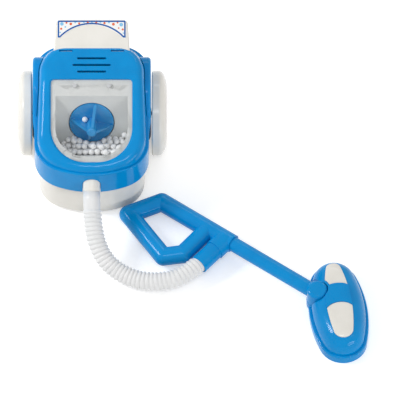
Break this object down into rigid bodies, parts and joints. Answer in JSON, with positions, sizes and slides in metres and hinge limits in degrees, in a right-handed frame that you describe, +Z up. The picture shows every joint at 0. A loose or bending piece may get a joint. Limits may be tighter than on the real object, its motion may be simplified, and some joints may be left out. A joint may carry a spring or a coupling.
{
  "type": "toy vacuum cleaner",
  "caption": "Toy canister vacuum cleaner with side wheels, a bead window and spinning fan, a ribbed hose, a loop-handled wand and a hinged floor nozzle.",
  "frame": {"origin": "bottom centre of the bounding box of everything but the free hose, on the floor", "axes": "+Z up, +X to the right of the canister, +Y to its back; the hose leaves towards -Y"},
  "size_m": [0.2526, 0.2356, 0.0958],
  "materials": {
    "blue_plastic": "glossy moulded",
    "white_plastic": "glossy moulded",
    "pale_plastic": "satin moulded",
    "hose_plastic": "soft moulded",
    "fan_blue": "glossy moulded",
    "clear_plastic": "clear",
    "foam": "foam",
    "label_film": "gloss film",
    "steel": "plain",
    "motor_metal": "plain",
    "cell_jacket": "printed sleeve",
    "dark_plastic": "satin moulded"
  },
  "bodies": {
    "canister": {"base_housing": "white_plastic", "middle_band": "blue_plastic", "hood": "blue_plastic", "rear_grip": "white_plastic", "grip_label": "label_film", "bead_box": "pale_plastic", "window_cover": "clear_plastic", "window_screws": "steel", "foam_beads": "foam", "motor": "motor_metal", "motor_clip": "steel", "motor_clip_screws": "steel", "front_roller_pin": "steel", "batteries": "cell_jacket", "right_battery_contact": "steel", "left_battery_contact": "steel", "switch_body": "dark_plastic", "housing_screws": "steel", "hose_connector": "white_plastic", "ribbed_hose": "hose_plastic", "hose_socket": "blue_plastic", "handle_upper_half": "blue_plastic", "handle_lower_half": "blue_plastic", "handle_screws": "steel", "wand_tube": "blue_plastic"},
    "wheelset": {"right_wheel": "white_plastic", "left_wheel": "white_plastic", "wheel_axle": "steel"},
    "front_roller": {"front_roller": "white_plastic"},
    "fan": {"fan_disc": "fan_blue", "motor_shaft": "steel"},
    "switch": {"switch_knob": "dark_plastic"},
    "battery_door": {"battery_door": "white_plastic", "battery_door_screw": "steel"},
    "neck": {"neck_ball": "blue_plastic"},
    "nozzle": {"nozzle_shell": "blue_plastic", "nozzle_sole": "blue_plastic", "nozzle_front_insert": "white_plastic", "nozzle_rear_insert": "white_plastic", "nozzle_screws": "steel"}
  },
  "joints": [
    {"name": "wheel_spin", "type": "hinge", "parent": "canister", "child": "wheelset", "pos_m": [-0.07233, 0.07615, 0.0306], "axis": [1, 0, 0], "continuous": true},
    {"name": "roller_spin", "type": "hinge", "parent": "canister", "child": "front_roller", "pos_m": [-0.07233, 0.03215, 0.007], "axis": [1, 0, 0], "continuous": true},
    {"name": "fan_spin", "type": "hinge", "parent": "canister", "child": "fan", "pos_m": [-0.07233, 0.04885, 0.05982], "axis": [0, -0.9011, 0.4337], "continuous": true},
    {"name": "switch_slide", "type": "slide", "parent": "canister", "child": "switch", "axis": [1, 0, 0], "range_m": [0, 0.004]},
    {"name": "battery_door_hinge", "type": "hinge", "parent": "canister", "child": "battery_door", "pos_m": [-0.07233, 0.10455, 0.0026], "axis": [1, 0, 0], "range_deg": [0, 75]},
    {"name": "neck_twist", "type": "hinge", "parent": "canister", "child": "neck", "pos_m": [0.0894, -0.06905, 0.01646], "axis": [0.7981, -0.5992, 0.0628], "range_deg": [-45, 45]},
    {"name": "nozzle_yaw", "type": "hinge", "parent": "neck", "child": "nozzle", "pos_m": [0.0894, -0.06905, 0], "axis": [0, 0, 1], "range_deg": [-12, 12]}
  ]
}
